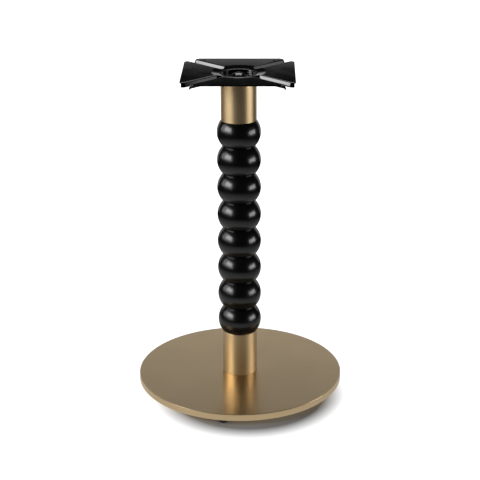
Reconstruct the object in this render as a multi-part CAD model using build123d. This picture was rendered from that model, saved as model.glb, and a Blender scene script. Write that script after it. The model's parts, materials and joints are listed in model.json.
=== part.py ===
from build123d import *
import math
import os

# Table base: a round floor plate, a bobbin-turned column between two collars, and a pressed mounting spider.
# Millimetres, +Z up, standing on z = 0 with the column's axis on the origin. The front is towards -Y.

# Floor plate
plate_d = 450.0
plate_thickness = 15.0
plate_top_chamfer = 0.8
plate_foot_chamfer = 1.5
nut_pocket_d = 42.0
nut_pocket_depth = 9.0

# Glides under the plate
glide_count = 4
first_glide_angle = -99.0
glide_inset = 20.0
glide_d = 20.0
glide_height = 12.0
glide_taper = 1.2
glide_edge_r = 1.5
glide_pocket_depth = 5.0

# Collars, cut from one tube
collar_d = 76.0
collar_wall = 2.0
collar_length = 98.0
collar_edge_chamfer = 0.5

# Turned column
bead_count = 8
bead_d = 94.0
bead_half_height = 44.0
bead_pitch = 61.2
end_face_step = 0.4
spigot_length = 12.0
spigot_chamfer = 1.0

# Mounting spider, pressed from one sheet
spider_width = 236.0
sheet = 2.5
bend_inside_r = 1.0
slot_width = 20.0
slot_past_collar = 6.5
wing_corner_r = 6.5
wing_corner_angle = 45.0
flange_depth = 10.0
flange_lean = 20.0
flange_setback = 3.0
dish_rim = 3.0
dish_slope = 17.0
dish_drop = 3.0
dish_bend_r = 5.0
shoulder_past_collar = 2.0
recess_depth = 6.0
recess_lip_r = 2.0
screw_hole_d = 6.5
screw_hole_to_edge = 18.0
screw_hole_off_diagonal = 25.0

# Tie bolt through the whole stack, with its washer and nut
bolt_d = 12.0
bolt_head_d = 30.0
bolt_head_height = 7.4
bolt_head_rim = 1.4
bolt_neck = 12.5
bolt_neck_height = 5.0
thread_past_nut = 3.0
bolt_tip_chamfer = 1.5
nut_across_flats = 19.0
nut_height = 10.0
nut_corner_chamfer = 1.2
washer_d = 37.0
washer_thickness = 2.5

# Disc that centres the lower collar on the plate
disc_thickness = 8.0
disc_chamfer = 1.0
disc_screw_count = 3
disc_screw_circle_d = 50.0
first_disc_screw_angle = 90.0

# Socket screws, in the disc and in the glides
screw_d = 5.0
screw_head_d = 8.5
screw_head_height = 3.0
screw_socket = 3.0
screw_socket_depth = 1.8
screw_bite = 9.0
drill_past_screw = 1.0

# Clearances, each on the radius or on one side
tube_clearance = 0.5
shank_clearance = 0.5
bore_clearance = 1.0
thread_clearance = 0.05
neck_clearance = 0.2
head_clearance = 0.4

# Sizes that follow
collar_r = collar_d / 2
collar_bore_r = collar_r - collar_wall
insert_r = collar_bore_r - tube_clearance
column_end_r = collar_r - end_face_step
end_reach = bead_half_height * math.sqrt(1 - (column_end_r / (bead_d / 2)) ** 2)
column_length = (bead_count - 1) * bead_pitch + 2 * end_reach
recess_r = insert_r - sheet
shoulder_r = collar_r + shoulder_past_collar
dish_r = shoulder_r + dish_slope
dish_rim_r = dish_r + dish_rim
bend_outside_r = bend_inside_r + sheet
slot_start = collar_r + slot_past_collar + slot_width / 2
glide_circle_r = plate_d / 2 - glide_inset

quarter_turns = [Rot(0, 0, 90 * i) for i in range(4)]

# Levels, from the floor up
plate_bottom = glide_height
plate_top = plate_bottom + plate_thickness
column_bottom = plate_top + collar_length
column_top = column_bottom + column_length
upper_collar_top = column_top + collar_length
spider_top = upper_collar_top + sheet + dish_drop
hub_floor = spider_top - dish_drop - recess_depth
nut_seat = plate_bottom + nut_pocket_depth
nut_bottom = nut_seat - washer_thickness - nut_height


def around(count, circle_r, first_angle=0.0):
    """Places evenly round the axis, the first at the given angle."""
    return [
        Rot(0, 0, first_angle + 360.0 / count * i) * Pos(circle_r, 0, 0)
        for i in range(count)
    ]


def glide_places():
    return around(glide_count, glide_circle_r, first_glide_angle)


def disc_screw_places():
    return around(disc_screw_count, disc_screw_circle_d / 2, first_disc_screw_angle)


def rod(radius, low, high):
    """A cylinder on the Z axis between two levels."""
    return Pos(0, 0, low) * Cylinder(radius, high - low, align=(Align.CENTER, Align.CENTER, Align.MIN))


def turned(*outline):
    """A solid turned about the Z axis from the straight outline through (radius, height) points."""
    section = make_face(Polyline(*outline, close=True))
    return revolve(Plane.XZ * section, Axis.Z)


def chamfered_disc(radius, low, high, low_chamfer, high_chamfer):
    """A round plate whose two rims are broken by chamfers."""
    return turned(
        (0, low),
        (radius - low_chamfer, low),
        (radius, low + low_chamfer),
        (radius, high - high_chamfer),
        (radius - high_chamfer, high),
        (0, high),
    )


def socket_screw(length):
    """A screw that points up: its head's seat is at z = 0, its socket opens downwards."""
    screw = rod(screw_head_d / 2, -screw_head_height, 0) + rod(screw_d / 2, 0, length)
    socket = extrude(RegularPolygon(screw_socket / 2, 6, major_radius=False), screw_socket_depth)
    return screw - Pos(0, 0, -screw_head_height) * socket


def base_plate():
    plate = chamfered_disc(
        plate_d / 2, plate_bottom, plate_top, plate_foot_chamfer, plate_top_chamfer
    )
    plate -= rod(bolt_d / 2 + shank_clearance, plate_bottom, plate_top)
    plate -= rod(nut_pocket_d / 2, plate_bottom, nut_seat)
    tapped = screw_d / 2 + thread_clearance
    depth = screw_bite + drill_past_screw
    for place in glide_places():
        plate -= place * rod(tapped, plate_bottom, plate_bottom + depth)
    for place in disc_screw_places():
        plate -= place * rod(tapped, plate_top - depth, plate_top)
    return plate


def glide():
    """A moulded foot with a sunk seat for its screw, centred on the Z axis and standing on z = 0."""
    top_r = glide_d / 2
    foot_r = top_r - glide_taper
    body = turned((0, 0), (foot_r, 0), (top_r, glide_height), (0, glide_height))
    body = fillet(body.edges().filter_by(GeomType.CIRCLE).sort_by(Axis.Z)[0], glide_edge_r)
    body -= rod(screw_head_d / 2 + head_clearance, 0, glide_pocket_depth)
    return body - rod(screw_d / 2 + thread_clearance, 0, glide_height)


def glide_screw():
    length = glide_height - glide_pocket_depth + screw_bite
    return Pos(0, 0, glide_pocket_depth) * socket_screw(length)


def locating_disc():
    disc = chamfered_disc(
        insert_r, plate_top, plate_top + disc_thickness, disc_chamfer, disc_chamfer
    )
    disc -= rod(bolt_d / 2 + shank_clearance, plate_top, plate_top + disc_thickness)
    seat = plate_top + disc_thickness - screw_head_height
    for place in disc_screw_places():
        disc -= place * rod(screw_d / 2 + thread_clearance, plate_top, seat)
        disc -= place * rod(screw_head_d / 2 + head_clearance, seat, plate_top + disc_thickness)
    return disc


def locating_screw():
    """The screw points down, so it is turned over about the X axis."""
    seat = plate_top + disc_thickness - screw_head_height
    length = disc_thickness - screw_head_height + screw_bite
    return Pos(0, 0, seat) * Rot(180, 0, 0) * socket_screw(length)


def collar(low):
    """A length of tube with its four rims broken."""
    high = low + collar_length
    edge = collar_edge_chamfer
    return turned(
        (collar_bore_r + edge, low),
        (collar_r - edge, low),
        (collar_r, low + edge),
        (collar_r, high - edge),
        (collar_r - edge, high),
        (collar_bore_r + edge, high),
        (collar_bore_r, high - edge),
        (collar_bore_r, low + edge),
    )


def bead_arc(centre_z, reach_below, reach_above):
    """The outer line of one bead, a slightly flattened circle, from its lower neck to its upper one."""
    low_angle = math.degrees(math.asin(reach_below / bead_half_height))
    high_angle = math.degrees(math.asin(reach_above / bead_half_height))
    sweep_angle = low_angle + high_angle
    return EllipticalCenterArc(
        (0, centre_z), bead_d / 2, bead_half_height, -low_angle, arc_size=sweep_angle
    )


def bobbin_column():
    """Eight beads turned in a row, with a spigot at each end that plugs into a collar."""
    centres = [column_bottom + end_reach + bead_pitch * i for i in range(bead_count)]
    arcs = []
    for i, centre in enumerate(centres):
        below = end_reach if i == 0 else bead_pitch / 2
        above = end_reach if i == bead_count - 1 else bead_pitch / 2
        arcs.append(bead_arc(centre, below, above))
    bore_r = bolt_d / 2 + bore_clearance
    low = column_bottom - spigot_length
    high = column_top + spigot_length
    foot = Polyline(
        (bore_r, low),
        (insert_r - spigot_chamfer, low),
        (insert_r, low + spigot_chamfer),
        (insert_r, column_bottom),
        arcs[0] @ 0,
    )
    head = Polyline(
        arcs[-1] @ 1,
        (insert_r, column_top),
        (insert_r, high - spigot_chamfer),
        (insert_r - spigot_chamfer, high),
        (bore_r, high),
        (bore_r, low),
    )
    return revolve(Plane.XZ * make_face([foot, *arcs, head]), Axis.Z)


def rounded(face, corners):
    """Round the named corners of a flat face, given as ((x, y), radius) pairs."""
    for (x, y), radius in corners:
        corner = face.vertices().sort_by_distance((x, y))[0]
        face = fillet(corner, radius)
    return face


def screw_hole_places():
    """Two holes in each wing, near its outer edge and as far from the slots as the wing allows."""
    far = spider_width / 2 - screw_hole_to_edge
    near = far - screw_hole_off_diagonal
    return [turn * Pos(far, side * near) for turn in quarter_turns for side in (-1, 1)]


def wing_outline():
    """The square blank with four diagonal slots that leave its corners open, seen from above."""
    slot = Pos(slot_start, 0) * Circle(slot_width / 2)
    slot += Pos(slot_start + spider_width / 2, 0) * Rectangle(spider_width, slot_width)
    blank = Rectangle(spider_width, spider_width)
    for turn in quarter_turns:
        blank -= turn * Rot(0, 0, 45) * slot
    corners_of_wings = 2 * len(quarter_turns)
    return fillet(blank.vertices().sort_by_distance((0, 0))[-corners_of_wings:], wing_corner_r)


def pressed_block(outline, top, rim_r):
    """A block that grows wider from the outline down to the flanges' lower edges, its top rim rounded."""
    block = extrude(outline, -flange_depth - top, taper=-flange_lean)
    return Pos(0, 0, top) * fillet(block.edges().group_by(Axis.Z)[-1], rim_r)


def outer_edge_bar(length, inset, width, low, high):
    """A bar along the outer edge of the wing at +X, which starts a little inside that edge."""
    bar = Box(width, length, high - low, align=(Align.MIN, Align.CENTER, Align.MIN))
    return Pos(spider_width / 2 - inset, 0, low) * bar


def flanged_wings(skin):
    """The skin hollowed out to the thickness of the sheet, with flat outer edges and screw holes."""
    lean = math.radians(flange_lean)
    wall_offset = sheet * (1 / math.cos(lean) - math.tan(lean))
    wings = skin - pressed_block(offset(wing_outline(), -wall_offset), -sheet, bend_inside_r)
    corner_reach = wing_corner_r / math.tan(math.radians(wing_corner_angle / 2))
    flat_edge = spider_width - slot_width * math.sqrt(2) - 2 * corner_reach
    opened = flange_setback + flange_depth
    for turn in quarter_turns:
        wings -= turn * outer_edge_bar(spider_width, flange_setback, opened, -flange_depth, -sheet)
        wings += turn * outer_edge_bar(flat_edge, bend_outside_r, bend_outside_r, -sheet, 0)
    wings &= Box(spider_width, spider_width, 2 * flange_depth)
    for place in screw_hole_places():
        wings -= place * rod(screw_hole_d / 2, -sheet, 0)
    return wings


def dish_line():
    """The dish's top line, from the outside inwards, as the corners before they are bent round."""
    floor = -dish_drop - recess_depth
    return ((dish_r, 0), (shoulder_r, -dish_drop), (recess_r, -dish_drop), (recess_r, floor), (0, floor))


def bent(face):
    """The face with the dish's top line bent round at its four corners."""
    radii = (dish_bend_r + sheet, dish_bend_r, recess_lip_r, bend_inside_r)
    return rounded(face, zip(dish_line(), radii))


def under_dish():
    """All the room under the dish's top surface, as deep as the flanges reach."""
    outside = ((0, -flange_depth), (dish_rim_r, -flange_depth), (dish_rim_r, 0))
    section = bent(make_face(Polyline(*outside, *dish_line(), close=True)))
    return revolve(Plane.XZ * section, Axis.Z)


def spider_hub():
    """The dished centre: a shallow cone down to a flat shoulder, then a round recess that fits the collar."""
    shoulder_foot = -dish_drop - sheet
    hub_foot = shoulder_foot - recess_depth
    outline = Polyline(
        (0, hub_foot),
        (insert_r, hub_foot),
        (insert_r, shoulder_foot),
        (shoulder_r, shoulder_foot),
        (dish_r, -sheet),
        (dish_rim_r, -sheet),
        (dish_rim_r, 0),
        *dish_line(),
        close=True,
    )
    under_bends = (
        ((dish_r, -sheet), dish_bend_r),
        ((shoulder_r, shoulder_foot), dish_bend_r + sheet),
        ((insert_r, hub_foot), bend_inside_r + sheet),
    )
    section = rounded(bent(make_face(outline)), under_bends)
    return revolve(Plane.XZ * section, Axis.Z)


def mounting_spider():
    """The wings give way to the dish in the middle, and the slots run on into the dish."""
    skin = pressed_block(wing_outline(), 0, bend_outside_r)
    middle = rod(dish_rim_r, -flange_depth, 0)
    spider = flanged_wings(skin) - (middle - under_dish())
    spider += spider_hub() - (middle - skin)
    hole = bolt_neck + 2 * neck_clearance
    floor_middle = -dish_drop - recess_depth - sheet / 2
    spider -= Pos(0, 0, floor_middle) * Box(hole, hole, sheet)
    return Pos(0, 0, spider_top) * spider


def tie_bolt():
    """A domed head on a square neck, and a shank that reaches down through the plate."""
    head_r = bolt_head_d / 2
    shank_r = bolt_d / 2
    crown = bolt_head_height - bolt_head_rim
    dome_r = (head_r ** 2 + crown ** 2) / (2 * crown)
    half_way = math.asin(head_r / dome_r) / 2
    dome = ThreePointArc(
        (head_r, hub_floor + bolt_head_rim),
        (dome_r * math.sin(half_way), hub_floor + bolt_head_height - dome_r * (1 - math.cos(half_way))),
        (0, hub_floor + bolt_head_height),
    )
    low = nut_bottom - thread_past_nut
    shank = Polyline(
        dome @ 1,
        (0, low),
        (shank_r - bolt_tip_chamfer, low),
        (shank_r, low + bolt_tip_chamfer),
        (shank_r, hub_floor),
        (head_r, hub_floor),
        dome @ 0,
    )
    bolt = revolve(Plane.XZ * make_face([dome, shank]), Axis.Z)
    neck = Pos(0, 0, hub_floor - bolt_neck_height / 2) * Box(bolt_neck, bolt_neck, bolt_neck_height)
    return bolt + neck


def tie_washer():
    ring = rod(washer_d / 2, nut_seat - washer_thickness, nut_seat)
    return ring - rod(bolt_d / 2 + shank_clearance, nut_seat - washer_thickness, nut_seat)


def tie_nut():
    """A hexagon nut whose corners are turned off at both ends."""
    high = nut_bottom + nut_height
    hexagon = extrude(RegularPolygon(nut_across_flats / 2, 6, major_radius=False), nut_height)
    corner_r = nut_across_flats / math.sqrt(3)
    rise = nut_corner_chamfer / 2
    envelope = turned(
        (0, nut_bottom),
        (corner_r - nut_corner_chamfer, nut_bottom),
        (corner_r, nut_bottom + rise),
        (corner_r, high - rise),
        (corner_r - nut_corner_chamfer, high),
        (0, high),
    )
    nut = Pos(0, 0, nut_bottom) * hexagon & envelope
    return nut - rod(bolt_d / 2 + thread_clearance, nut_bottom, high)


def pieces():
    """Every piece of the base, by the name of its node."""
    made = {
        "base_plate": base_plate(),
        "locating_disc": locating_disc(),
        "lower_collar": collar(plate_top),
        "bobbin_column": bobbin_column(),
        "upper_collar": collar(column_top),
        "mounting_spider": mounting_spider(),
        "tie_bolt": tie_bolt(),
        "tie_washer": tie_washer(),
        "tie_nut": tie_nut(),
    }
    for i, place in enumerate(glide_places(), start=1):
        made[f"glide_{i}"] = place * glide()
        made[f"glide_screw_{i}"] = place * glide_screw()
    for i, place in enumerate(disc_screw_places(), start=1):
        made[f"locating_screw_{i}"] = place * locating_screw()
    return made


os.makedirs("parts", exist_ok=True)
for name, shape in pieces().items():
    export_step(shape, f"parts/{name}.step")
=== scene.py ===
# %% [markdown]
# # A pedestal table base with a bobbin column
#
# The real object is a stack: a heavy round plate with a satin brass finish stands on four black
# glides, a short brass tube rises from its middle, then a turned wooden column of eight black
# beads, a second brass tube, and a black pressed-steel spider that screws to the table top. A tie
# bolt runs through all of it, and its domed head shows in the middle of the spider.
#
# Every one of these pieces is hard and smooth, so their shapes come from the CAD model as they are.
# The work here is in two things: materials that behave like the real finishes close up, and a small
# studio that lights satin metal and black gloss the way a product photographer does.

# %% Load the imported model
import json
import math

import bmesh
import bpy
from mathutils import Matrix, Vector

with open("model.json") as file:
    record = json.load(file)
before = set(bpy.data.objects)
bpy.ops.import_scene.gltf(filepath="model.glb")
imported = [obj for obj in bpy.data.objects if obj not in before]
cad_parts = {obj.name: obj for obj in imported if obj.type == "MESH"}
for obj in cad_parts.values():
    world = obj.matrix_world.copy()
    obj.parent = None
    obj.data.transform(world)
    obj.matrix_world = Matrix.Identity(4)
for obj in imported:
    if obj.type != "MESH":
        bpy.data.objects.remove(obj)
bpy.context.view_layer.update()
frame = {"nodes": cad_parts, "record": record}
nodes = frame["nodes"]

# %% [markdown]
# ## The camera
#
# A long lens flattens perspective, which is why the beads in a catalogue picture look almost equal
# in size from the top of the column to the bottom. The camera stands nearly three metres away at
# chest height and tilts down about twenty degrees, so the plate shows as a clear ellipse.
#
# `polar` gives a place in the studio by its bearing: 0 is the front, where the camera stands but
# for a degree, and positive bearings go round to the right. Lengths are in metres and angles in
# degrees. The lens is in millimetres, and the last two values below are in pixels.

# %% Place the camera
CAMERA_BEARING = 1.2
CAMERA_DISTANCE = 2.818
CAMERA_HEIGHT = 1.3915
CAMERA_TILT = 20.55
CAMERA_ROLL = -0.28
CAMERA_REACH = 60.0
CAMERA_LENS = 103.8
FRAME_PIXELS = 480
OBJECT_LEFT_OF_CENTRE = 0.65

QUARTER_TURN = 90.0


def polar(bearing, distance, height):
    turn = math.radians(bearing)
    return Vector((distance * math.sin(turn), -distance * math.cos(turn), height))


def turned_about(axis, degrees):
    return Matrix.Rotation(math.radians(degrees), 4, axis)


def add_object(name, data):
    added = bpy.data.objects.new(name, data)
    bpy.context.scene.collection.objects.link(added)
    return added


def add_camera():
    """Adds the camera. Before it is turned it looks straight down, so level is a quarter turn."""
    data = bpy.data.cameras.new("camera")
    data.lens = CAMERA_LENS
    data.clip_end = CAMERA_REACH
    camera = add_object("camera", data)
    lens_in_pixels = CAMERA_LENS / data.sensor_width * FRAME_PIXELS
    aside = math.degrees(math.atan(OBJECT_LEFT_OF_CENTRE / lens_in_pixels))
    turn = turned_about("Z", CAMERA_BEARING - aside)
    tilt = turned_about("X", QUARTER_TURN - CAMERA_TILT)
    roll = turned_about("Z", CAMERA_ROLL)
    place = polar(CAMERA_BEARING, CAMERA_DISTANCE, CAMERA_HEIGHT)
    camera.matrix_world = Matrix.Translation(place) @ turn @ tilt @ roll
    bpy.context.scene.camera = camera
    return camera


camera = add_camera()
print("camera at", [round(c, 3) for c in camera.matrix_world.translation])

# %% [markdown]
# ## Small helpers for node trees
#
# Materials below are built by hand from nodes. `place_node` adds one node and sets its plain
# values. `feed` gives an input either a plain value or another node's output. Together they keep
# the material code short enough to read as a recipe.

# %% Node helpers


def place_node(tree, kind, **settings):
    node = tree.nodes.new(kind)
    for name, value in settings.items():
        setattr(node, name, value)
    return node


def feed(tree, socket, value):
    """Gives a socket a plain value, or joins it to an output."""
    if isinstance(value, bpy.types.NodeSocket):
        tree.links.new(value, socket)
    elif isinstance(value, tuple) and socket.type == "RGBA":
        socket.default_value = (*value, 1.0)
    else:
        socket.default_value = value


def maths(tree, operation, first, second, clamp=False):
    node = place_node(tree, "ShaderNodeMath", operation=operation, use_clamp=clamp)
    feed(tree, node.inputs[0], first)
    feed(tree, node.inputs[1], second)
    return node.outputs[0]


def scaled_sum(tree, base, *shares):
    """The base plus every share, and a share is a value and what it is multiplied by."""
    total = base
    for value, weight in shares:
        total = maths(tree, "ADD", maths(tree, "MULTIPLY", value, weight), total)
    return total


def ranged(tree, value, seen, wanted=(0.0, 1.0)):
    """Stretches the range that is seen in a value to the wanted one, and holds it at both ends."""
    node = place_node(tree, "ShaderNodeMapRange")
    feed(tree, node.inputs["Value"], value)
    for name, limit in zip(("From Min", "From Max", "To Min", "To Max"), (*seen, *wanted)):
        feed(tree, node.inputs[name], limit)
    return node.outputs["Result"]


def blended(tree, mask, low_colour, high_colour):
    """The low colour where the mask is 0 and the high one where it is 1."""
    node = place_node(tree, "ShaderNodeMix", data_type="RGBA")
    feed(tree, node.inputs["Factor"], mask)
    low_socket, high_socket = [s for s in node.inputs if s.type == "RGBA"]
    feed(tree, low_socket, low_colour)
    feed(tree, high_socket, high_colour)
    return [s for s in node.outputs if s.type == "RGBA"][0]


def noise(tree, vector, scale, detail=2.0, roughness=0.5):
    node = place_node(tree, "ShaderNodeTexNoise")
    feed(tree, node.inputs["Vector"], vector)
    feed(tree, node.inputs["Scale"], scale)
    feed(tree, node.inputs["Detail"], detail)
    feed(tree, node.inputs["Roughness"], roughness)
    return node.outputs["Fac"]


print("node helpers ready")

# %% [markdown]
# ## Shared effects
#
# Four effects turn up on more than one finish, so each is a node group that is built once.
#
# *Brush lines* are what an abrasive belt leaves: noise that is squeezed hard across the lines and
# hardly at all along them. The squeeze is given per axis, so the same group draws straight lines on
# the plate and lines that run round a tube.
#
# *Edge wear and glint* finds corners. The Bevel node gives a normal that is rounded off near an
# edge, and where it differs from the true normal there is an edge to wear. On the brass, the
# lighter colour it draws there is partly rubbed wear and partly a painted highlight.
#
# *Handling marks* are broad soft patches, left by wiping and touching, that change how sharply a
# surface reflects.
#
# *Sprayed skin* is the faint orange-peel ripple of any sprayed gloss coat. Much finer, it is also
# the grain of moulded rubber.

# %% Group helpers
INPUT_KINDS = {"Vector": "NodeSocketVector", "Squeeze": "NodeSocketVector"}
PLAIN_NUMBER = "NodeSocketFloat"


def new_group(name, inputs, outputs):
    """An empty node group. Returns its tree and the nodes that hold its inputs and outputs."""
    tree = bpy.data.node_groups.new(name, "ShaderNodeTree")
    for label in inputs:
        kind = INPUT_KINDS.get(label, PLAIN_NUMBER)
        tree.interface.new_socket(label, in_out="INPUT", socket_type=kind)
    for label in outputs:
        tree.interface.new_socket(label, in_out="OUTPUT", socket_type=PLAIN_NUMBER)
    return tree, tree.nodes.new("NodeGroupInput"), tree.nodes.new("NodeGroupOutput")


def use_group(tree, group, **values):
    """Places a group in a material. Input names have no spaces, so they are given as they are."""
    node = place_node(tree, "ShaderNodeGroup", node_tree=group)
    for name, value in values.items():
        feed(tree, node.inputs[name], value)
    return node.outputs


print("group helpers ready")

# %% Brush lines
LINE_SCALE = 1.0
STREAK_SCALE = 0.12
NOISE_MIDDLE = 0.5


def make_brush_lines():
    inputs, outputs = ("Vector", "Squeeze", "Contrast"), ("Lines", "Streaks")
    tree, given, result = new_group("brush lines", inputs, outputs)
    squeezed = place_node(tree, "ShaderNodeVectorMath", operation="MULTIPLY")
    feed(tree, squeezed.inputs[0], given.outputs["Vector"])
    feed(tree, squeezed.inputs[1], given.outputs["Squeeze"])
    fine = noise(tree, squeezed.outputs[0], LINE_SCALE, detail=3.0, roughness=0.65)
    broad = noise(tree, squeezed.outputs[0], STREAK_SCALE)
    for name, raw in (("Lines", fine), ("Streaks", broad)):
        centred = maths(tree, "SUBTRACT", raw, NOISE_MIDDLE)
        scaled = maths(tree, "MULTIPLY", centred, given.outputs["Contrast"])
        feed(tree, result.inputs[name], maths(tree, "ADD", scaled, NOISE_MIDDLE, clamp=True))
    return tree


brush_lines = make_brush_lines()
print("group:", brush_lines.name)

# %% Edge wear and glint
SAME_NORMAL, EDGE_NORMAL = 1.0, 0.9
BREAKUP_SEEN, BREAKUP_LEFT = (0.3, 0.6), (0.4, 1.0)


def make_edge_wear_and_glint():
    tree, given, result = new_group("edge wear and glint", ("Vector", "Radius", "Breakup"), ("Edge",))
    rounded = place_node(tree, "ShaderNodeBevel", samples=4)
    feed(tree, rounded.inputs["Radius"], given.outputs["Radius"])
    true_normal = place_node(tree, "ShaderNodeNewGeometry").outputs["Normal"]
    likeness = place_node(tree, "ShaderNodeVectorMath", operation="DOT_PRODUCT")
    feed(tree, likeness.inputs[0], rounded.outputs[0])
    feed(tree, likeness.inputs[1], true_normal)
    edge = ranged(tree, likeness.outputs["Value"], seen=(SAME_NORMAL, EDGE_NORMAL))
    patches = noise(tree, given.outputs["Vector"], given.outputs["Breakup"], detail=3.0)
    left = ranged(tree, patches, seen=BREAKUP_SEEN, wanted=BREAKUP_LEFT)
    feed(tree, result.inputs["Edge"], maths(tree, "MULTIPLY", edge, left))
    return tree


edge_wear_and_glint = make_edge_wear_and_glint()
print("group:", edge_wear_and_glint.name)

# %% Handling marks
MARKS_SEEN = (0.35, 0.68)


def make_handling_marks():
    tree, given, result = new_group("handling marks", ("Vector", "Scale"), ("Marks",))
    vector, scale = given.outputs["Vector"], given.outputs["Scale"]
    patches = noise(tree, vector, scale, detail=4.0, roughness=0.55)
    feed(tree, result.inputs["Marks"], ranged(tree, patches, seen=MARKS_SEEN))
    return tree


handling_marks = make_handling_marks()
print("group:", handling_marks.name)

# %% Sprayed skin


def make_sprayed_skin():
    tree, given, result = new_group("sprayed skin", ("Vector", "Scale"), ("Height",))
    ripple = noise(tree, given.outputs["Vector"], given.outputs["Scale"], detail=1.0)
    feed(tree, result.inputs["Height"], ripple)
    return tree


sprayed_skin = make_sprayed_skin()
print("group:", sprayed_skin.name)

# %% [markdown]
# ## Where every finish starts
#
# Each finish begins as a Principled shader that reads its patterns from the object's own
# coordinates, in metres. Values that are the same all over are set on the shader itself, and the
# finest detail goes through a Bump node.

# %% Material helpers


def principled(name):
    """A new material. Returns it, its tree, its Principled shader and the object coordinates."""
    material = bpy.data.materials.new(name)
    material.use_nodes = True
    tree = material.node_tree
    shader = tree.nodes["Principled BSDF"]
    coordinates = place_node(tree, "ShaderNodeTexCoord").outputs["Object"]
    return material, tree, shader, coordinates


def set_plain(shader, **values):
    """Sets plain values on the shader's own inputs. Names have underscores for spaces."""
    for name, value in values.items():
        shader.inputs[name.replace("_", " ")].default_value = value


def bumped(tree, shader, height, strength, distance):
    bump = place_node(tree, "ShaderNodeBump")
    feed(tree, bump.inputs["Height"], height)
    feed(tree, bump.inputs["Strength"], strength)
    feed(tree, bump.inputs["Distance"], distance)
    feed(tree, shader.inputs["Normal"], bump.outputs["Normal"])


print("material helpers ready")

# %% [markdown]
# ## Satin brass
#
# The plate and the two tubes share one finish: brass plating over brushed steel, under a thin clear
# coat. Brushed metal scatters a reflection across its lines far more than along them. That is what
# the Anisotropic value is for, and it needs a Tangent to say which way. The tubes and the plate's
# rim are brushed round, so their reflections smear up and down. The plate's top is brushed from
# side to side, so there they smear towards the viewer. One slanted tangent serves both, because the
# shader keeps only the part of it that lies in the surface.

# %% Satin brass
BRASS = (0.79, 0.59, 0.335)
BRASS_DEEP = (0.74, 0.54, 0.285)
# Paler brass for the edges: partly rubbed wear, partly a painted highlight.
BRASS_RUBBED_AND_GLINTING = (0.90, 0.74, 0.49)
STREAK_TONE = 0.8
EDGE_TONE = 0.6
EDGE_BREAKUP = 180.0
LINES_ROUGHEN, MARKS_ROUGHEN, EDGE_SMOOTHS = 0.06, 0.03, -0.08
ANISOTROPY = 0.6
COAT_WEIGHT, COAT_ROUGHNESS = 0.5, 0.3
PLATE_SQUEEZE, PLATE_SMEAR, PLATE_ROUGHNESS = (7.0, 1500.0, 1500.0), (0.0, 1.0, 8.0), 0.30
TUBE_SQUEEZE, TUBE_SMEAR, TUBE_ROUGHNESS = (6.0, 6.0, 1500.0), (0.0, 0.0, 1.0), 0.42


def satin_brass(name, squeeze, smear, roughness):
    material, tree, shader, at = principled(name)
    brushed = use_group(tree, brush_lines, Vector=at, Squeeze=squeeze, Contrast=1.4)
    edge = use_group(tree, edge_wear_and_glint, Vector=at, Radius=0.0009, Breakup=EDGE_BREAKUP)["Edge"]
    marks = use_group(tree, handling_marks, Vector=at, Scale=11.0)["Marks"]
    streaks = maths(tree, "MULTIPLY", brushed["Streaks"], STREAK_TONE)
    toned = blended(tree, streaks, BRASS, BRASS_DEEP)
    # Lighter brass along the edges: partly rubbed wear, partly a painted highlight.
    toned = blended(tree, maths(tree, "MULTIPLY", edge, EDGE_TONE), toned, BRASS_RUBBED_AND_GLINTING)
    feed(tree, shader.inputs["Base Color"], toned)
    shares = ((brushed["Lines"], LINES_ROUGHEN), (marks, MARKS_ROUGHEN), (edge, EDGE_SMOOTHS))
    feed(tree, shader.inputs["Roughness"], scaled_sum(tree, roughness, *shares))
    set_plain(shader, Metallic=1.0, Anisotropic=ANISOTROPY)
    set_plain(shader, Coat_Weight=COAT_WEIGHT, Coat_Roughness=COAT_ROUGHNESS)
    direction = place_node(tree, "ShaderNodeCombineXYZ")
    for socket, value in zip(direction.inputs, smear):
        socket.default_value = value
    feed(tree, shader.inputs["Tangent"], direction.outputs[0])
    bumped(tree, shader, brushed["Lines"], strength=0.25, distance=0.00002)
    return material


plate_brass = satin_brass("satin brass, plate", PLATE_SQUEEZE, PLATE_SMEAR, PLATE_ROUGHNESS)
tube_brass = satin_brass("satin brass, tubes", TUBE_SQUEEZE, TUBE_SMEAR, TUBE_ROUGHNESS)
print("materials:", plate_brass.name, "and", tube_brass.name)

# %% [markdown]
# ## Black lacquer on turned wood
#
# The beads are wood under several coats of black lacquer, rubbed down to a soft gloss. The lacquer
# film follows the faint rings that the turning tool left round the axis, and it is a shade browner
# where it is thin. It isn't a mirror: the lamps show as soft patches.

# %% Black lacquer
LACQUER = (0.0015, 0.0015, 0.0018)
LACQUER_THIN = (0.0045, 0.0036, 0.0030)
LACQUER_ROUGHNESS = 0.20
LACQUER_WEAR = 0.05
LACQUER_IOR = 1.6
TURNING_RINGS = (3.0, 3.0, 700.0)
RINGS_IN_FILM = 0.4


def black_lacquer():
    material, tree, shader, at = principled("black lacquer")
    rings = use_group(tree, brush_lines, Vector=at, Squeeze=TURNING_RINGS, Contrast=1.0)
    skin = use_group(tree, sprayed_skin, Vector=at, Scale=300.0)["Height"]
    marks = use_group(tree, handling_marks, Vector=at, Scale=22.0)["Marks"]
    edge = use_group(tree, edge_wear_and_glint, Vector=at, Radius=0.0012, Breakup=EDGE_BREAKUP)["Edge"]
    feed(tree, shader.inputs["Base Color"], blended(tree, rings["Streaks"], LACQUER, LACQUER_THIN))
    rough = scaled_sum(tree, LACQUER_ROUGHNESS, (marks, LACQUER_WEAR), (edge, LACQUER_WEAR))
    feed(tree, shader.inputs["Roughness"], rough)
    set_plain(shader, IOR=LACQUER_IOR)
    film = scaled_sum(tree, skin, (rings["Lines"], RINGS_IN_FILM))
    bumped(tree, shader, film, strength=0.15, distance=0.00006)
    return material


lacquer = black_lacquer()
print("material:", lacquer.name)

# %% [markdown]
# ## Black enamel on pressed steel
#
# The spider is dipped and baked, which gives a harder and wetter gloss than the column has. It
# shows the studio's lamps as crisp bright strips on its turned-down edges.

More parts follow.
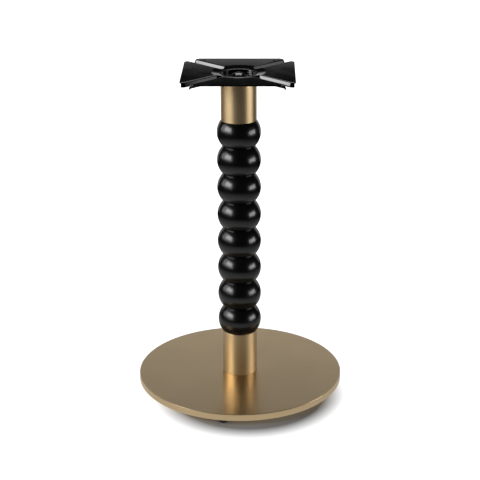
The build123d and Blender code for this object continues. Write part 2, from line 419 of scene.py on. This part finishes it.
# %% Black enamel
ENAMEL = (0.0012, 0.0012, 0.0014)
ENAMEL_CHIPPED = (0.012, 0.012, 0.013)
ENAMEL_ROUGHNESS = 0.06
ENAMEL_WEAR = 0.04
ENAMEL_IOR = 1.5


def black_enamel():
    material, tree, shader, at = principled("black enamel")
    skin = use_group(tree, sprayed_skin, Vector=at, Scale=260.0)["Height"]
    marks = use_group(tree, handling_marks, Vector=at, Scale=30.0)["Marks"]
    edge = use_group(tree, edge_wear_and_glint, Vector=at, Radius=0.0006, Breakup=320.0)["Edge"]
    feed(tree, shader.inputs["Base Color"], blended(tree, edge, ENAMEL, ENAMEL_CHIPPED))
    rough = scaled_sum(tree, ENAMEL_ROUGHNESS, (marks, ENAMEL_WEAR))
    feed(tree, shader.inputs["Roughness"], rough)
    set_plain(shader, IOR=ENAMEL_IOR)
    bumped(tree, shader, skin, strength=0.2, distance=0.00003)
    return material


enamel = black_enamel()
print("material:", enamel.name)

# %% [markdown]
# ## Zinc-plated steel and moulded rubber
#
# Nobody sees the hardware once the table stands, but it is there: zinc plate is a cool grey metal
# with a soft crystalline bloom, and the glides are matt black rubber with a fine moulded grain.

# %% Zinc plate and rubber
ZINC = (0.56, 0.57, 0.59)
ZINC_BLOOM = (0.44, 0.45, 0.48)
ZINC_ROUGHNESS = (0.28, 0.42)
ZINC_EDGE_TONE = 0.5
RUBBER = (0.016, 0.016, 0.017)
RUBBER_SCUFFED = (0.05, 0.05, 0.05)
RUBBER_ROUGHNESS = (0.6, 0.75)
GRAIN_SEEN = (0.3, 0.7)


def zinc_plate():
    material, tree, shader, at = principled("zinc plate")
    marks = use_group(tree, handling_marks, Vector=at, Scale=160.0)["Marks"]
    edge = use_group(tree, edge_wear_and_glint, Vector=at, Radius=0.0005, Breakup=EDGE_BREAKUP)["Edge"]
    toned = blended(tree, marks, ZINC, ZINC_BLOOM)
    toned = blended(tree, maths(tree, "MULTIPLY", edge, ZINC_EDGE_TONE), toned, ZINC)
    feed(tree, shader.inputs["Base Color"], toned)
    rough = ranged(tree, marks, seen=(0.0, 1.0), wanted=ZINC_ROUGHNESS)
    feed(tree, shader.inputs["Roughness"], rough)
    set_plain(shader, Metallic=1.0)
    bumped(tree, shader, marks, strength=0.1, distance=0.00003)
    return material


def moulded_rubber():
    material, tree, shader, at = principled("moulded rubber")
    grain = use_group(tree, sprayed_skin, Vector=at, Scale=1900.0)["Height"]
    edge = use_group(tree, edge_wear_and_glint, Vector=at, Radius=0.0008, Breakup=500.0)["Edge"]
    feed(tree, shader.inputs["Base Color"], blended(tree, edge, RUBBER, RUBBER_SCUFFED))
    rough = ranged(tree, grain, seen=GRAIN_SEEN, wanted=RUBBER_ROUGHNESS)
    feed(tree, shader.inputs["Roughness"], rough)
    bumped(tree, shader, grain, strength=0.35, distance=0.00012)
    return material


zinc, rubber = zinc_plate(), moulded_rubber()
print("materials:", zinc.name, "and", rubber.name)

# %% [markdown]
# ## Dressing the CAD pieces
#
# The pieces' shapes stay as they are. Each one only gets its finish.

# %% Give every CAD piece its finish
FINISH_OF_SLOT = {
    "brass_finish": tube_brass,
    "black_lacquer": lacquer,
    "black_enamel": enamel,
    "plain_steel": zinc,
    "black_rubber": rubber,
}
FINISH_OF_NODE = {"base_plate": plate_brass}


def dress_cad_pieces():
    parts = frame["record"]["subparts"]
    for part in parts:
        name = part["node"]
        finish = FINISH_OF_NODE.get(name, FINISH_OF_SLOT[part["material_slot"]])
        materials = nodes[name].data.materials
        materials.clear()
        materials.append(finish)
    return len(parts)


print("dressed", dress_cad_pieces(), "pieces")

# %% [markdown]
# ## The floor
#
# The floor is grey paper that shows white. It should look white and still carry the plate's soft
# shadow.
# So its white comes from a glow that the lamps have no part in, and the glow stays away from a
# patch round the place where the shadow falls. That patch is a painted shade: there the floor is
# only the grey paper under the lamps, darker than the white around it even where the plate casts no
# shadow. The light on the floor comes from behind, so that patch reaches from the plate to the
# front and a little to the right.
#
# The glow belongs to the background and not to the light on the object. Light Path tells the two
# apart: it is on for the camera, and for rays that reach the floor by way of gloss or glass.

# %% Floor
FLOOR_SIZE = 40.0
PAPER = (0.32, 0.32, 0.32)
SHADOW_CENTRE = (0.02, -0.07, 0.0)
GLOW_STARTS, GLOW_FULL = 0.165, 0.215


def seen_as_background(tree):
    """1 for a ray that shows the background: from the camera, or by way of gloss or glass."""
    path = place_node(tree, "ShaderNodeLightPath").outputs
    mirrored = maths(tree, "ADD", path["Is Glossy Ray"], path["Is Transmission Ray"])
    return maths(tree, "ADD", path["Is Camera Ray"], mirrored, clamp=True)


def distance_from(tree, at, centre):
    node = place_node(tree, "ShaderNodeVectorMath", operation="DISTANCE")
    feed(tree, node.inputs[0], at)
    feed(tree, node.inputs[1], centre)
    return node.outputs["Value"]


def bare_material(name):
    """A material with no nodes of its own. Returns it, its tree and its object coordinates."""
    material = bpy.data.materials.new(name)
    material.use_nodes = True
    tree = material.node_tree
    tree.nodes.clear()
    return material, tree, place_node(tree, "ShaderNodeTexCoord").outputs["Object"]


def end_tree(tree, kind, shader):
    """Joins the last shader to an output node of the kind given."""
    feed(tree, place_node(tree, kind).inputs["Surface"], shader.outputs[0])


def floor_material():
    material, tree, at = bare_material("white paper floor")
    paper = place_node(tree, "ShaderNodeBsdfDiffuse")
    feed(tree, paper.inputs["Color"], PAPER)
    # The grey patch without glow round SHADOW_CENTRE is a painted shade where the plate's shadow
    # falls.
    away = distance_from(tree, at, SHADOW_CENTRE)
    outside = ranged(tree, away, seen=(GLOW_STARTS, GLOW_FULL))
    glow = place_node(tree, "ShaderNodeEmission")
    strength = maths(tree, "MULTIPLY", outside, seen_as_background(tree))
    feed(tree, glow.inputs["Strength"], strength)
    both = place_node(tree, "ShaderNodeAddShader")
    feed(tree, both.inputs[0], paper.outputs[0])
    feed(tree, both.inputs[1], glow.outputs[0])
    end_tree(tree, "ShaderNodeOutputMaterial", both)
    return material


def stage_piece(name, shape, material):
    """Turns a bmesh into a mesh object with the material given, for the studio round the object."""
    mesh = bpy.data.meshes.new(name)
    shape.to_mesh(mesh)
    shape.free()
    mesh.materials.append(material)
    piece = add_object(name, mesh)
    return piece


def flat_square(size, height):
    shape = bmesh.new()
    bmesh.ops.create_grid(shape, x_segments=1, y_segments=1, size=size / 2)
    bmesh.ops.translate(shape, verts=shape.verts, vec=(0.0, 0.0, height))
    return shape


floor = stage_piece("floor", flat_square(FLOOR_SIZE, 0.0), floor_material())
print("floor:", FLOOR_SIZE, "metres square")

# %% [markdown]
# ## Black cloth and a grey card
#
# Black lacquer between white walls turns grey. A product photographer hangs black cloth round the
# set, just out of view, so that gloss black stays black between its highlights, and lays a dim card
# on the floor for the sides of the beads to pick up. Both are made here as meshes that only glossy
# rays can see, and both glow with a set brightness instead of taking light from the lamps, so what
# gloss shows of them is a painted reflection: grey near the plate, fading to the cloth's
# near-black.
# They throw no shadow and take no light from the floor, and the camera looks through them to the
# white background.

# %% Black cloth and grey card
CLOTH_RADIUS = 4.2
CLOTH_GLOW = 0.010
GREY_CARD_GLOW = 0.54
GREY_CARD_HEIGHT = 0.0005
GREY_CARD_CENTRE = (-0.12, -0.10, 0.0)
GREY_CARD_DIMS = (0.25, 1.20)


def show_in_gloss_only(piece):
    for ray in ("camera", "diffuse", "transmission", "volume_scatter", "shadow"):
        setattr(piece, "visible_" + ray, False)


def toned(name, tone):
    """A glowing material, a painted reflection for gloss, that dims to the cloth's glow away from
    the centre.
    """
    material, tree, at = bare_material(name)
    away = distance_from(tree, at, GREY_CARD_CENTRE)
    glow = place_node(tree, "ShaderNodeEmission")
    strength = ranged(tree, away, seen=GREY_CARD_DIMS, wanted=(tone, CLOTH_GLOW))
    feed(tree, glow.inputs["Strength"], strength)
    end_tree(tree, "ShaderNodeOutputMaterial", glow)
    return material


def cloth_dome():
    shape = bmesh.new()
    bmesh.ops.create_uvsphere(shape, u_segments=48, v_segments=24, radius=CLOTH_RADIUS)
    return shape


cloth = stage_piece("black_cloth", cloth_dome(), toned("black cloth", CLOTH_GLOW))
card_shape = flat_square(2 * CLOTH_RADIUS, GREY_CARD_HEIGHT)
card = stage_piece("grey_card", card_shape, toned("grey card", GREY_CARD_GLOW))
for piece in (cloth, card):
    show_in_gloss_only(piece)
print("studio pieces:", cloth.name, card.name)

# %% [markdown]
# ## The lamps
#
# Gloss black shows nothing but lamps, so the lamps are placed by what each one has to draw.
# `soft_box` takes the brightness of the lamp's face, in the same units as a colour, and turns it
# into watts.
#
# One piece's lamp is often another piece's glare. In a studio small flags and snoots keep such
# light away, and here light linking does it: `lit_alone` names the pieces that a lamp falls on.

# %% Lamp helpers


def soft_box(name, bearing, distance, low, high, width, brightness, aim_height=None):
    """A lamp that stands on a bearing and faces the axis, level unless it aims at a height."""
    data = bpy.data.lights.new(name, "AREA")
    data.shape = "RECTANGLE"
    data.size = width
    data.size_y = high - low
    data.energy = brightness * math.pi * data.size * data.size_y
    lamp = add_object(name, data)
    place = polar(bearing, distance, (low + high) / 2)
    target = Vector((0.0, 0.0, place.z if aim_height is None else aim_height))
    facing = (target - place).to_track_quat("-Z", "Y").to_matrix().to_4x4()
    lamp.matrix_world = Matrix.Translation(place) @ facing
    lamp.visible_camera = False
    return lamp


def lit_alone(pieces, name, **box):
    """A soft box that falls on the given pieces alone."""
    lamp = soft_box(name, **box)
    receivers = bpy.data.collections.new(lamp.name + " falls on")
    for piece in pieces:
        receivers.objects.link(piece)
    lamp.light_linking.receiver_collection = receivers
    return lamp


plate_alone = [nodes["base_plate"]]
top_alone = [nodes["mounting_spider"], nodes["tie_bolt"]]
with_own_lamps = plate_alone + top_alone
all_the_rest = [piece for piece in nodes.values() if piece not in with_own_lamps] + [floor]
print("pieces with lamps of their own:", len(with_own_lamps), "- the rest:", len(all_the_rest))

# %% [markdown]
# A large soft box high on the left draws the soft patch on every bead and the bright bands on the
# tubes. A real soft box is brighter in the middle than at its edge, so it is made of two lamps, a
# wide one with a smaller one before it. A lower box on the right draws the second patch.

# %% Soft boxes for the column
left_box = lit_alone(
    all_the_rest, "left box",
    bearing=-72.0, distance=3.0, low=0.70, high=2.60, width=4.2, brightness=2.0,
)
left_middle = lit_alone(
    all_the_rest, "left box middle",
    bearing=-63.0, distance=2.8, low=1.15, high=2.25, width=1.9, brightness=5.5,
)
right_box = lit_alone(
    all_the_rest, "right box",
    bearing=75.0, distance=3.2, low=0.25, high=1.25, width=2.2, brightness=5.0,
)
print("lamps:", left_box.name, left_middle.name, right_box.name)

# %% [markdown]
# Satin metal looks its best when it mirrors something plain. A wide card behind gives the plate's
# top its even tone, and a taller one just behind it softens the height where the spider's far wing
# turns from grey to black. The two stand apart, because lamps in one plane hide each other.
#
# The plate alone gets the same kind of card on its other sides and above, so that it looks like
# brass from there too. Two small lamps brighten its rim at the left and right.

# %% Cards for the plate and the spider's top
CARD_LOW = 0.02
SIDE_CARD = {"distance": 1.5, "low": CARD_LOW, "high": 0.98, "width": 3.0}

back_card = soft_box("back card", bearing=180.0, brightness=0.32, **SIDE_CARD)
back_card_top = soft_box(
    "back card top",
    bearing=180.0, distance=1.56, low=CARD_LOW, high=1.065, width=3.1, brightness=0.25,
)
for side, bearing in (("front", 0.0), ("left", -90.0), ("right", 90.0)):
    lit_alone(plate_alone, side + " card", bearing=bearing, brightness=0.50, **SIDE_CARD)
card_above = lit_alone(
    plate_alone, "card above",
    bearing=180.0, distance=0.4, low=2.0, high=3.4, width=2.0, brightness=0.5, aim_height=0.0,
)
print("cards:", back_card.name, back_card_top.name, card_above.name, "and three at the other sides")

# %% Lamps for the plate's rim
rim_lamp_left = lit_alone(
    plate_alone, "rim lamp left",
    bearing=-62.0, distance=1.4, low=0.40, high=1.30, width=0.8, brightness=2.6,
)
rim_lamp_right = lit_alone(
    plate_alone, "rim lamp right",
    bearing=90.0, distance=1.4, low=0.40, high=1.00, width=0.5, brightness=2.0,
)
print("lamps:", rim_lamp_left.name, rim_lamp_right.name)

# %% [markdown]
# The spider's turned-down edges face half left and half right, and lean back a little, so they look
# for light high at either side. The bolt's round head looks for light overhead.

# %% Lamps for the spider's edges and the bolt
edge_lamp_left = lit_alone(
    top_alone, "edge lamp left",
    bearing=-97.0, distance=1.2, low=0.97, high=1.65, width=0.55, brightness=11.0,
)
edge_lamp_right = lit_alone(
    top_alone, "edge lamp right",
    bearing=95.0, distance=1.2, low=0.98, high=1.30, width=0.50, brightness=1.8,
)
bolt_lamp = lit_alone(
    top_alone, "bolt lamp",
    bearing=180.0, distance=0.9, low=1.7, high=2.9, width=1.4, brightness=4.0, aim_height=0.7,
)
print("lamps:", edge_lamp_left.name, edge_lamp_right.name, bolt_lamp.name)

# %% [markdown]
# The plate's shadow falls forward on the floor, so the floor's own light comes from behind and a
# little from the left, and low enough to throw it as far as the picture shows. It is kept out of
# the gloss, where a photographer would flag it off with a black board.

# %% Lamp behind for the floor
floor_lamp = soft_box(
    "floor lamp",
    bearing=190.0, distance=3.4, low=1.0, high=2.8, width=4.6, brightness=5.5, aim_height=0.0,
)
floor_lamp.visible_glossy = False
print("lamp:", floor_lamp.name)

# %% [markdown]
# ## The room
#
# Past the floor there is plain white, for the camera as for gloss and glass. As light on the object
# the room gives only a dim grey, so that the lamps alone shape it.

# %% World
ROOM_GREY = (0.10, 0.10, 0.105)
BACKGROUND_WHITE = (1.0, 1.0, 1.0)


def room():
    world = bpy.data.worlds.new("room")
    bpy.context.scene.world = world
    world.use_nodes = True
    tree = world.node_tree
    tree.nodes.clear()
    background = place_node(tree, "ShaderNodeBackground")
    tone = blended(tree, seen_as_background(tree), ROOM_GREY, BACKGROUND_WHITE)
    feed(tree, background.inputs["Color"], tone)
    end_tree(tree, "ShaderNodeOutputWorld", background)
    return world


print("world:", room().name)

# %% [markdown]
# ## Finishing
#
# The Standard view shows a colour as it is written, where a filmic one would grey the white
# background. No shape was added to the CAD model.

# %% Plain colours
bpy.context.scene.view_settings.view_transform = "Standard"
print("view:", bpy.context.scene.view_settings.view_transform)
